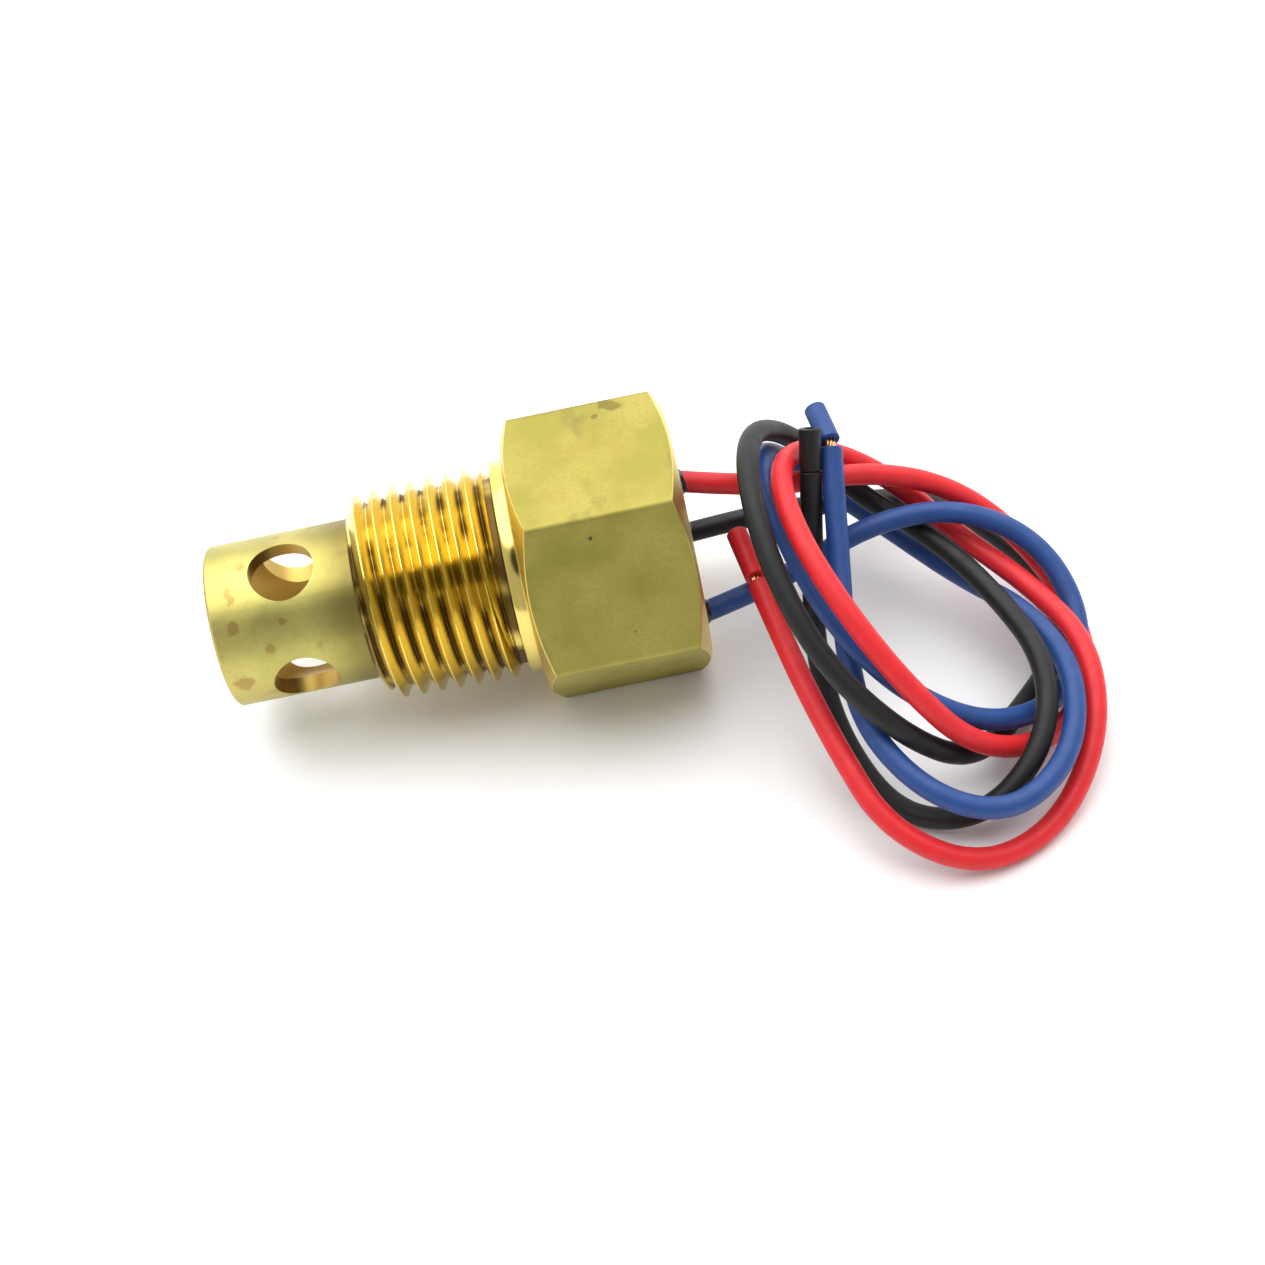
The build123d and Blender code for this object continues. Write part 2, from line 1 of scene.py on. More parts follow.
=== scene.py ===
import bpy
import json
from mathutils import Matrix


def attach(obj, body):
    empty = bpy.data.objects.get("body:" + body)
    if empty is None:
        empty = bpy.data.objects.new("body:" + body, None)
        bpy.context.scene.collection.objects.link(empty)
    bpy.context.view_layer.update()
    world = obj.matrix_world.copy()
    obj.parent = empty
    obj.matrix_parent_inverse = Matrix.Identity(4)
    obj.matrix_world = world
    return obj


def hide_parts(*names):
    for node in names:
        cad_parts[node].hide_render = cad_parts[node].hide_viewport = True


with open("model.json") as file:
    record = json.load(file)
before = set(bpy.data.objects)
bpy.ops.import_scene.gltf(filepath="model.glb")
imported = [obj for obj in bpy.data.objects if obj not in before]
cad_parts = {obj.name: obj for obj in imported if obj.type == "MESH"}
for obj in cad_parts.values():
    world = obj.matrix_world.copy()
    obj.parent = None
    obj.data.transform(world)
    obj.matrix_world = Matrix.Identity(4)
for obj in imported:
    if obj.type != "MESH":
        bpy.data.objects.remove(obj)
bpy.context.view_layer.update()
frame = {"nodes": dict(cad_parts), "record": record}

import json
from math import cos, degrees, exp, floor, pi, radians, sin, tan

import bmesh
import bpy
from mathutils import Matrix, Vector

MM = 0.001
scene = bpy.context.scene
nodes = frame["nodes"]

# ---- camera ---------------------------------------------------------------------------------------
CAMERA_AT = (16.75, -135.15, 162.95)
AZIMUTH, ELEVATION, ROLL = radians(0.58), radians(50.47), radians(-12.09)

back = Vector((sin(AZIMUTH) * cos(ELEVATION), -cos(AZIMUTH) * cos(ELEVATION), sin(ELEVATION)))
level = Vector((cos(AZIMUTH), sin(AZIMUTH), 0))
upward = back.cross(level)
right = level * cos(ROLL) + upward * sin(ROLL)
top = upward * cos(ROLL) - level * sin(ROLL)

camera_data = bpy.data.cameras.new("camera")
camera_data.sensor_width = 36.0
camera_data.lens = 58.68
camera_data.clip_start = 0.01
camera_data.clip_end = 10.0
camera = bpy.data.objects.new("camera", camera_data)
scene.collection.objects.link(camera)
turn = Matrix((right, top, back)).transposed()
camera.matrix_world = Matrix.Translation(Vector(CAMERA_AT) * MM) @ turn.to_4x4()
scene.camera = camera

# ---- leads ----------------------------------------------------------------------------------------
# The routes are the points of the CAD's leads, in millimetres.
LEAD_D = 2.1
RED_ROUTE = [
    (22.7, 1.0, 18.9), (31.4, 0.2, 16.2), (40.6, 1.2, 14.9), (49.0, 0.2, 11.4), (55.0, -4.1, 6.5),
    (58.3, -11.6, 3.15), (57.6, -20.0, 0.75), (51.2, -26.2, 2.4), (43.9, -28.4, 7.6), (38.6, -25.5, 14.6),
    (34.2, -19.2, 20.3), (31.6, -10.9, 23.0), (31.9, -2.1, 22.0), (36.4, 3.7, 17.2), (43.2, 3.4, 11.5),
    (48.8, -2.3, 7.0), (54.1, -10.0, 6.4), (57.5, -18.7, 6.6), (56.0, -27.4, 4.0), (50.2, -34.4, 0.9),
    (42.0, -37.3, 1.5), (34.5, -33.5, 5.0), (31.6, -25.4, 8.4), (29.6, -16.4, 10.3), (28.3, -7.1, 11.2),
]
BLACK_ROUTE = [
    (22.7, 5.0, 6.9), (31.4, 5.6, 7.0), (39.8, 6.6, 4.9), (48.2, 6.5, 3.3), (54.3, 0.9, 1.4),
    (57.8, -6.8, 1.1), (56.0, -14.9, 1.2), (49.8, -21.5, 1.4), (43.9, -27.5, 4.2), (37.7, -27.9, 10.6),
    (31.8, -22.6, 16.4), (28.9, -14.8, 21.7), (28.5, -5.9, 25.1), (30.4, 2.3, 22.8), (34.9, 6.2, 16.6),
    (40.0, 3.0, 10.0), (46.4, -3.7, 8.6), (50.3, -12.2, 8.5), (52.8, -21.2, 8.3), (50.3, -29.2, 6.4),
    (43.7, -32.8, 2.5), (36.6, -29.9, 0.8), (32.9, -22.1, 3.1), (32.1, -14.2, 7.4), (33.6, -7.8, 13.2),
    (35.0, -2.5, 20.2),
]
BLUE_ROUTE = [
    (22.7, -6.7, 8.1), (31.4, -5.4, 9.1), (39.8, -2.8, 11.6), (48.9, -2.8, 11.5), (56.2, -6.6, 8.3),
    (58.4, -14.2, 4.3), (54.4, -21.9, 3.1), (46.6, -25.3, 5.7), (39.2, -23.4, 10.5), (33.9, -17.9, 15.4),
    (31.2, -10.0, 19.2), (30.3, -1.0, 20.7), (32.0, 5.8, 16.1), (36.7, 6.7, 9.1), (43.1, 1.6, 5.0),
    (48.3, -6.0, 4.7), (53.1, -13.5, 6.7), (55.2, -21.9, 7.2), (52.7, -30.2, 6.0), (46.0, -34.9, 5.5),
    (39.0, -33.2, 7.9), (34.4, -25.6, 9.8), (34.6, -16.9, 12.0), (36.1, -8.4, 15.7), (37.4, -0.8, 21.1),
]
# route, and length from the potting to the cut end
LEADS = {
    "red": (RED_ROUTE, 214.6),
    "black": (BLACK_ROUTE, 217.0),
    "blue": (BLUE_ROUTE, 207.9),
}

# bare strands between lead and sleeve, the sleeve's length, and its own direction where it is bent aside
SLEEVES = {
    "red": (0.75, 5.7, None),
    "black": (0.12, 4.0, None),
    "blue": (0.7, 4.2, (-0.13, 0.98, 0.1)),
}
CORE_R = 0.5
CORE_REACH = 3.0               # wires left inside the cut sleeve
LEAD_EDGE = 0.06               # break of a lead's end edges
SLEEVE_EDGE = 0.07
WIRE_COUNT = 8                 # one in the middle, the others round it
WIRE_R = 0.15
WIRE_LAY = 9.0                 # length in which the wires go once round
LEAD_SIDES = 28
SLEEVE_SIDES = 32
WIRE_SIDES = 10


def mesh_object(name, vertices, faces, body, sharp=32):
    """A mesh object with smooth faces and sharp edges, riding a body. Its points are in millimetres."""
    data = bpy.data.meshes.new(name)
    data.from_pydata([tuple(value * MM for value in vertex) for vertex in vertices], [], faces)
    work = bmesh.new()
    work.from_mesh(data)
    bmesh.ops.remove_doubles(work, verts=work.verts, dist=1e-7)
    bmesh.ops.dissolve_degenerate(work, edges=work.edges, dist=1e-7)
    bmesh.ops.recalc_face_normals(work, faces=work.faces)
    work.to_mesh(data)
    work.free()
    data.shade_smooth()
    data.set_sharp_from_angle(angle=radians(sharp))
    obj = bpy.data.objects.new(name, data)
    scene.collection.objects.link(obj)
    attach(obj, body)
    return obj


def spline_points(name, route):
    """Points along a route's smooth line, in millimetres, read from its NURBS spline."""
    data = bpy.data.curves.new(name, "CURVE")
    data.dimensions = "3D"
    data.resolution_u = 14
    line = data.splines.new("NURBS")
    line.points.add(len(route) - 1)
    for point, place in zip(line.points, route):
        point.co = (*place, 1.0)
    line.order_u = 3
    line.use_endpoint_u = True
    guide = bpy.data.objects.new(name, data)
    scene.collection.objects.link(guide)
    graph = bpy.context.evaluated_depsgraph_get()
    mesh = bpy.data.meshes.new_from_object(guide.evaluated_get(graph))
    points = [vertex.co.copy() for vertex in mesh.vertices]
    bpy.data.objects.remove(guide)
    bpy.data.curves.remove(data)
    bpy.data.meshes.remove(mesh)
    return points


def add_tube(vertices, faces, points, radius, sides, edge=0.0):
    """Add a closed round tube along points, with its two end edges broken by edge."""
    ways = [(after - before).normalized() for before, after in zip(points, points[1:])]
    ways = [ways[0]] + [(one + other).normalized() for one, other in zip(ways, ways[1:])] + [ways[-1]]
    stations = [(point, way, radius) for point, way in zip(points, ways)]
    if edge > 0:
        head, tail = points[0], points[-1]
        stations[0] = (head + ways[0] * edge, ways[0], radius)
        stations.insert(0, (head, ways[0], radius - edge))
        stations[-1] = (tail - ways[-1] * edge, ways[-1], radius)
        stations.append((tail, ways[-1], radius - edge))
    side = ways[0].orthogonal().normalized()
    start = len(vertices)
    for point, way, size in stations:
        side = (side - way * side.dot(way)).normalized()
        over = way.cross(side)
        for column in range(sides):
            angle = 2 * pi * column / sides
            vertices.append(point + side * (size * cos(angle)) + over * (size * sin(angle)))
    for row in range(len(stations) - 1):
        for column in range(sides):
            after = (column + 1) % sides
            low = start + row * sides
            faces.append((low + column, low + after, low + sides + after, low + sides + column))
    faces.append(tuple(range(start + sides - 1, start - 1, -1)))
    last = start + (len(stations) - 1) * sides
    faces.append(tuple(range(last, last + sides)))


def add_spun(vertices, faces, profile, origin, way, sides):
    """Add a closed ring: an outline of (distance, radius) points turned about a line."""
    side = way.orthogonal().normalized()
    over = way.cross(side)
    start = len(vertices)
    for distance, radius in profile:
        for column in range(sides):
            angle = 2 * pi * column / sides
            around = side * (radius * cos(angle)) + over * (radius * sin(angle))
            vertices.append(origin + way * distance + around)
    for row in range(len(profile)):
        low = start + row * sides
        high = start + (row + 1) % len(profile) * sides
        for column in range(sides):
            after = (column + 1) % sides
            faces.append((low + column, low + after, high + after, high + column))


def build_lead(colour, route):
    """One insulated lead from the potting to its cut end."""
    points = spline_points(colour + "_line", route)
    vertices = []
    faces = []
    add_tube(vertices, faces, points, LEAD_D / 2, LEAD_SIDES, edge=LEAD_EDGE)
    lead = mesh_object(colour + "_insulation", vertices, faces, "housing")
    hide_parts(colour + "_lead")
    return lead


def build_cut_end(colour, route, bare, length, aside):
    """The twisted copper wires that leave a lead, and the cut sleeve pushed along them."""
    end = Vector(route[-1])
    way = (end - Vector(route[-2])).normalized()
    sleeve_way = way if aside is None else Vector(aside).normalized()
    bend = end + way * (bare / 2)
    sleeve_start = bend + sleeve_way * (bare / 2)

    vertices = []
    faces = []
    outside = LEAD_D / 2
    outline = [(0, CORE_R), (0, outside - SLEEVE_EDGE), (SLEEVE_EDGE, outside),
               (length - SLEEVE_EDGE, outside), (length, outside - SLEEVE_EDGE), (length, CORE_R)]
    add_spun(vertices, faces, outline, sleeve_start, sleeve_way, SLEEVE_SIDES)
    sleeve = mesh_object(colour + "_cut_sleeve", vertices, faces, "housing")
    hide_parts(colour + "_sleeve")

    vertices = []
    faces = []
    side = way.orthogonal().normalized()
    over = way.cross(side)
    run = [end + way * (bare / 2 * share) for share in (0, 0.5)]
    run += [bend + sleeve_way * (bare / 2 * share) for share in (0, 0.5, 1)]
    run += [sleeve_start + sleeve_way * (CORE_REACH * share) for share in (0.25, 0.5, 0.75, 1)]
    travel = [0.0]
    for before, after in zip(run, run[1:]):
        travel.append(travel[-1] + (after - before).length)
    for wire in range(WIRE_COUNT):
        ring_r = 0 if wire == 0 else CORE_R - WIRE_R
        points = []
        for place, distance in zip(run, travel):
            angle = 2 * pi * (wire / (WIRE_COUNT - 1) + distance / WIRE_LAY)
            points.append(place + side * (ring_r * cos(angle)) + over * (ring_r * sin(angle)))
        add_tube(vertices, faces, points, WIRE_R, WIRE_SIDES)
    wires = mesh_object(colour + "_wires", vertices, faces, "housing")
    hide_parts(colour + "_strands")
    return sleeve, wires


painted = []
for colour, (route, length) in LEADS.items():
    sleeve, wires = build_cut_end(colour, route, *SLEEVES[colour])
    painted.append((sleeve, colour + "_insulation"))
    painted.append((wires, "copper_strands"))
    painted.append((build_lead(colour, route), colour + "_insulation"))

# ---- sizes shared with the CAD --------------------------------------------------------------------
AXIS_Z = 12.7
X_THREAD = -9.3
X_GROOVE = 4.4
X_COLLAR = 5.1
X_HEX = 6.5
X_BACK = 22.7
HEX_AF = 25.4
HEX_FACE_R = 12.2               # radius where the end chamfers start
CHAMFER_ANGLE = 26
COLLAR_R = 10.6
GROOVE_R = 9.4
PITCH = 25.4 / 14
CREST_START = 0.746             # first crest behind the thread's end, at angle 0
THREAD_DEPTH = 1.38
THREAD_END_R = 10.67            # crest radius at the groove
THREAD_TAPER = 1 / 32           # change of radius per length
FLANK_START = 0.035             # share of the pitch, from a crest's middle
FLANK_END = 0.475
LEAD_IN_R = 8.55                # radius where the thread's starting chamfer begins
LEAD_IN_RISE = 1.55             # its rise per length
GUARD_R = 7.9375
PORT_R = 4.0
CHAMBER_R = 7.0
CHAMBER_LENGTH = 1.1
X_SOCKET = -3.3
X_SEAT = 8.0
BACK_BORE_R = 10.3
X_POTTING = 20.6
MENISCUS_LENGTH = 0.8
MENISCUS_R = 1.6
MENISCUS_FALL = 2.2             # power with which it thins towards its top
MENISCUS_BITE = 0.01            # how far its top sits inside the lead
PINHOLE_R = 0.01                # the disc's centre, too small to see


# ---- brass body -----------------------------------------------------------------------------------
def at(x, r, theta):
    """A point in millimetres, from its station, radius and angle about the axis."""
    return (x, r * cos(theta), AXIS_Z + r * sin(theta))


# Degrees from a corner of the hexagon to each column of points beside it, and shares of a pitch from a
# crest to each row of points, closest where the outline turns.
CORNER_STEPS = (0.35, 0.8, 1.4, 2.2, 3.4, 5.2, 7.4, 10.0, 13.0, 16.0, 19.0, 22.0, 25.0, 27.5)
THREAD_ROWS = (0.0, 0.03, 0.05, 0.08, 0.14, 0.21, 0.28, 0.35, 0.41, 0.45, 0.48,
               0.52, 0.55, 0.59, 0.65, 0.72, 0.79, 0.86, 0.92, 0.95, 0.97)
CORNER_R = 14.57                # the hexagon's corners, slightly rounded
CORNER_ROUND = 0.06
EDGE = 0.07                     # break of the hexagon's chamfer edges
SMALL_BREAK = 0.12
FILLET = 0.15
FACE_DROP = 0.02                # from the end faces to where the chamfers start
SPARE_TURNS = 3                 # turns of thread beyond each end, folded flat onto the ends


def body_angles():
    """Angles round the axis, closer together beside each corner of the hexagon."""
    angles = []
    for corner in range(6):
        middle = 60 * corner
        for offset in CORNER_STEPS:
            angles.append(middle + offset)
            angles.append(middle - offset)
        angles.append(middle)
        angles.append(middle + 30)
    return [radians(angle) for angle in sorted(set(round(angle % 360, 4) for angle in angles))]


def hex_radius(theta):
    """Distance from the axis to the hexagon's outline."""
    from_flat = (degrees(theta) + 30) % 60 - 30
    flat = HEX_AF / 2 / cos(radians(30 - abs(from_flat)))
    beyond = flat - (CORNER_R - CORNER_ROUND)
    if beyond < 0:
        return flat
    return CORNER_R - CORNER_ROUND * exp(-beyond / CORNER_ROUND)


def thread_radius(x, theta):
    """Radius of the right-handed taper thread at a station and angle."""
    crest = THREAD_END_R - (X_GROOVE - x) * THREAD_TAPER
    phase = ((x - X_THREAD - CREST_START) / PITCH - theta / (2 * pi)) % 1.0
    away = min(phase, 1 - phase)
    share = min(max((away - FLANK_START) / (FLANK_END - FLANK_START), 0.0), 1.0)
    lead_in = LEAD_IN_R + (x - X_THREAD) * LEAD_IN_RISE
    return min(crest - THREAD_DEPTH * share, lead_in)


def build_body():
    """The brass body: a grid of points along the thread's helix, and plain rings for the rest."""
    angles = body_angles()
    columns = len(angles)
    rows_a_turn = len(THREAD_ROWS)
    last = floor((X_GROOVE - X_THREAD) / PITCH) + SPARE_TURNS
    phases = [number + phase for number in range(-SPARE_TURNS, last) for phase in THREAD_ROWS]
    vertices = []
    faces = []

    def ring(x, r):
        """Add a ring of points; x and r are numbers, or functions of the angle."""
        start = len(vertices)
        for theta in angles:
            vertices.append(at(x(theta) if callable(x) else x, r(theta) if callable(r) else r, theta))
        return start

    def band(lower, upper):
        """Add the faces between two rings."""
        for j in range(columns):
            k = (j + 1) % columns
            faces.append((lower + j, lower + k, upper + k, upper + j))

    # thread rows follow the helix and are held at the ends of the thread
    grid = []
    for j, theta in enumerate(angles):
        column = []
        for phase in phases:
            x = X_THREAD + CREST_START + (phase + theta / (2 * pi)) * PITCH
            x = min(max(x, X_THREAD), X_GROOVE)
            column.append(len(vertices))
            vertices.append(at(x, thread_radius(x, theta), theta))
        grid.append(column)
    rows = len(phases)
    for j in range(columns - 1):
        for i in range(rows - 1):
            faces.append((grid[j][i], grid[j + 1][i], grid[j + 1][i + 1], grid[j][i + 1]))
    for i in range(rows - 1):
        here, after = min(i + rows_a_turn, rows - 1), min(i + 1 + rows_a_turn, rows - 1)
        faces.append((grid[-1][i], grid[0][here], grid[0][after], grid[-1][i + 1]))
    front_ring = ring(X_THREAD, lambda theta: thread_radius(X_THREAD, theta))
    groove_ring = ring(X_GROOVE, lambda theta: thread_radius(X_GROOVE, theta))

    def corner_run(theta, drop=0.0):
        """Length of the end chamfer at an angle, measured to drop below the hexagon's outline."""
        return (hex_radius(theta) - drop - HEX_FACE_R) * tan(radians(CHAMFER_ANGLE))

    def broken_radius(theta):
        return hex_radius(theta) - EDGE

    outer = [
        groove_ring,
        ring(X_GROOVE, GROOVE_R),
        ring(X_COLLAR - SMALL_BREAK, GROOVE_R),
        ring(X_COLLAR, GROOVE_R + SMALL_BREAK),
        ring(X_COLLAR, COLLAR_R - 0.3),
        ring(X_COLLAR + 0.07, COLLAR_R - 0.09),
        ring(X_COLLAR + 0.28, COLLAR_R),
        ring(X_HEX - FILLET, COLLAR_R),
        ring(X_HEX, COLLAR_R + FILLET),
        ring(X_HEX, HEX_FACE_R - SMALL_BREAK),
        ring(X_HEX + FACE_DROP, HEX_FACE_R),
        ring(lambda theta: X_HEX + FACE_DROP + corner_run(theta, EDGE), broken_radius),
        ring(lambda theta: X_HEX + corner_run(theta) + EDGE, hex_radius),
        ring(lambda theta: X_BACK - corner_run(theta) - EDGE, hex_radius),
        ring(lambda theta: X_BACK - FACE_DROP - corner_run(theta, EDGE), broken_radius),
        ring(X_BACK - FACE_DROP, HEX_FACE_R),
        ring(X_BACK, HEX_FACE_R - SMALL_BREAK),
        ring(X_BACK, BACK_BORE_R + FILLET),
        ring(X_BACK - FILLET, BACK_BORE_R),
        ring(X_SEAT, BACK_BORE_R),
        ring(X_SEAT, CHAMBER_R),
        ring(X_SEAT - CHAMBER_LENGTH, CHAMBER_R),
        ring(X_SEAT - CHAMBER_LENGTH, PORT_R),
        ring(X_SOCKET, PORT_R),
        ring(X_SOCKET, GUARD_R),
        ring(X_THREAD, GUARD_R),
        front_ring,
    ]
    for lower, upper in zip(outer, outer[1:]):
        band(lower, upper)
    body = mesh_object("brass_body", vertices, faces, "housing", sharp=24)
    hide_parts("hex_body")
    return body


def build_potting():
    """The resin that closes the back, drawn up thinly round each lead."""
    vertices = []
    faces = []
    thick = X_BACK - X_POTTING
    outline = [(0, PINHOLE_R), (0, BACK_BORE_R), (thick, BACK_BORE_R), (thick, PINHOLE_R)]
    add_spun(vertices, faces, outline, Vector((X_POTTING, 0, AXIS_Z)), Vector((1, 0, 0)), 72)
    sides = 36
    steps = 8
    for route, _ in LEADS.values():
        foot = Vector(route[0])
        way = (Vector(route[1]) - foot).normalized()
        start = len(vertices)
        for row in range(steps + 1):
            share = row / steps
            centre = foot + way * (MENISCUS_LENGTH * share)
            spread = (MENISCUS_R - LEAD_D / 2) * (1 - share) ** MENISCUS_FALL
            radius = LEAD_D / 2 - MENISCUS_BITE + spread
            for column in range(sides):
                angle = 2 * pi * column / sides
                vertices.append(centre + Vector((0, radius * cos(angle), radius * sin(angle))))
        for row in range(steps):
            low = start + row * sides
            for column in range(sides):
                after = (column + 1) % sides
                faces.append((low + column, low + after, low + sides + after, low + sides + column))
        faces.append(tuple(range(start, start + sides)))
        faces.append(tuple(range(start + steps * sides, start + (steps + 1) * sides)))
    resin = mesh_object("back_potting", vertices, faces, "housing")
    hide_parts("potting")
    return resin


painted.append((build_body(), "hex_body_brass"))
painted.append((build_potting(), "potting_resin"))


# ---- materials ------------------------------------------------------------------------------------
def new_material(name):
    """A new node material, with its node tree and its shader."""
    material = bpy.data.materials.new(name)
    material.use_nodes = True
    tree = material.node_tree
    shader = tree.nodes["Principled BSDF"]
    return material, tree, shader


def add_node(tree, kind, **settings):
    """A node; each setting is the value of an input or, failing that, of a property."""
    node = tree.nodes.new(kind)
    for key, value in settings.items():
        if key in node.inputs:
            node.inputs[key].default_value = value
        else:
            setattr(node, key, value)
    return node


def ramp(tree, source, stops):
    """A colour ramp fed by a socket, from (position, colour) pairs."""
    node = tree.nodes.new("ShaderNodeValToRGB")
    elements = node.color_ramp.elements
    while len(elements) > 1:
        elements.remove(elements[-1])
    elements[0].position, elements[0].color = stops[0][0], (*stops[0][1], 1)
    for position, colour in stops[1:]:
        element = elements.new(position)
        element.color = (*colour, 1)
    tree.links.new(source, node.inputs["Fac"])
    return node.outputs["Color"]


def noise(tree, scale, detail=4.0, stretch=(1, 1, 1)):
    """Noise over the object's own coordinates, in metres, stretched along its axes."""
    place = add_node(tree, "ShaderNodeTexCoord")
    mapping = add_node(tree, "ShaderNodeMapping")
    mapping.inputs["Scale"].default_value = stretch
    texture = add_node(tree, "ShaderNodeTexNoise", Scale=scale, Detail=detail)
    tree.links.new(place.outputs["Object"], mapping.inputs["Vector"])
    tree.links.new(mapping.outputs["Vector"], texture.inputs["Vector"])
    return texture.outputs["Fac"]


def bump(tree, shader, height, strength, distance):
    """Bump a shader's normal by a height; distance is in metres."""
    node = add_node(tree, "ShaderNodeBump", Strength=strength, Distance=distance)
    tree.links.new(height, node.inputs["Height"])
    tree.links.new(node.outputs["Normal"], shader.inputs["Normal"])


def math_node(tree, operation, *values, clamp=False):
    """A maths node; each value is a socket or a number."""
    node = add_node(tree, "ShaderNodeMath", operation=operation, use_clamp=clamp)
    for socket, value in zip(node.inputs, values):
        if isinstance(value, (int, float)):
            socket.default_value = value
        else:
            tree.links.new(value, socket)
    return node.outputs[0]


def mix_colour(tree, share, first, second):
    """Two colours, each a socket or a value, mixed by a share."""
    node = add_node(tree, "ShaderNodeMix", data_type="RGBA")
    for socket, value in zip((node.inputs[0], node.inputs[6], node.inputs[7]), (share, first, second)):
        if isinstance(value, tuple):
            socket.default_value = (*value, 1)
        elif isinstance(value, (int, float)):
            socket.default_value = value
        else:
            tree.links.new(value, socket)
    return node.outputs[2]


def step(tree, source, low, high):
    """A soft step from 0 to 1 between two values of a socket."""
    node = add_node(tree, "ShaderNodeMapRange", interpolation_type="SMOOTHSTEP")
    node.inputs["From Min"].default_value = low
    node.inputs["From Max"].default_value = high
    tree.links.new(source, node.inputs["Value"])
    return node.outputs["Result"]


def specks(tree, scale, size, share):
    """Small round marks scattered over a surface: 1 inside a mark."""
    place = add_node(tree, "ShaderNodeTexCoord")
    cells = add_node(tree, "ShaderNodeTexVoronoi", Scale=scale)
    tree.links.new(place.outputs["Object"], cells.inputs["Vector"])
    near = math_node(tree, "SUBTRACT", 1.0, step(tree, cells.outputs["Distance"], size * 0.5, size))
    parts = tree.nodes.new("ShaderNodeSeparateColor")
    tree.links.new(cells.outputs["Color"], parts.inputs["Color"])
    chosen = math_node(tree, "LESS_THAN", parts.outputs["Red"], share)
    return math_node(tree, "MULTIPLY", near, chosen)


def marks(tree, places, share=1.0):
    """Irregular marks at named places: each is a point in millimetres and a radius; 1 inside a mark."""
    place = add_node(tree, "ShaderNodeTexCoord")
    ragged = math_node(tree, "MULTIPLY", math_node(tree, "SUBTRACT", noise(tree, 900, 3.0), 0.5), 2.4)
    total = None
    for point, radius in places:
        reach = add_node(tree, "ShaderNodeVectorMath", operation="DISTANCE")
        tree.links.new(place.outputs["Object"], reach.inputs[0])
        reach.inputs[1].default_value = Vector(point) * MM
        apart = math_node(tree, "MULTIPLY", reach.outputs["Value"], 1 / (radius * MM))
        outside = step(tree, math_node(tree, "ADD", apart, ragged), 0.6, 1.2)
        inside = math_node(tree, "SUBTRACT", 1.0, outside)
        total = inside if total is None else math_node(tree, "MAXIMUM", total, inside)
    return math_node(tree, "MULTIPLY", total, share)


def from_axis(tree, spot):
    """Distance from the switch's axis, in millimetres, of a place split into X, Y and Z."""
    across_y = math_node(tree, "MULTIPLY", spot.outputs["Y"], 1 / MM)
    across_z = math_node(tree, "MULTIPLY", spot.outputs["Z"], 1 / MM)
    across_z = math_node(tree, "SUBTRACT", across_z, AXIS_Z)
    square = math_node(tree, "ADD", math_node(tree, "MULTIPLY", across_y, across_y),
                       math_node(tree, "MULTIPLY", across_z, across_z))
    return math_node(tree, "SQRT", square)


def metal(name, light, dark, rough):
    """A machined metal: two tones mixed by noise, and a roughness that varies with it."""
    material, tree, shader = new_material(name)
    shader.inputs["Metallic"].default_value = 1.0
    grain = noise(tree, 900, 5.0)
    tree.links.new(ramp(tree, grain, [(0.32, dark), (0.64, light)]), shader.inputs["Base Color"])
    shade = ramp(tree, grain, [(0.3, (rough * 1.3,) * 3), (0.7, (rough * 0.8,) * 3)])
    tree.links.new(shade, shader.inputs["Roughness"])
    bump(tree, shader, grain, 0.15, 0.00002)
    return material


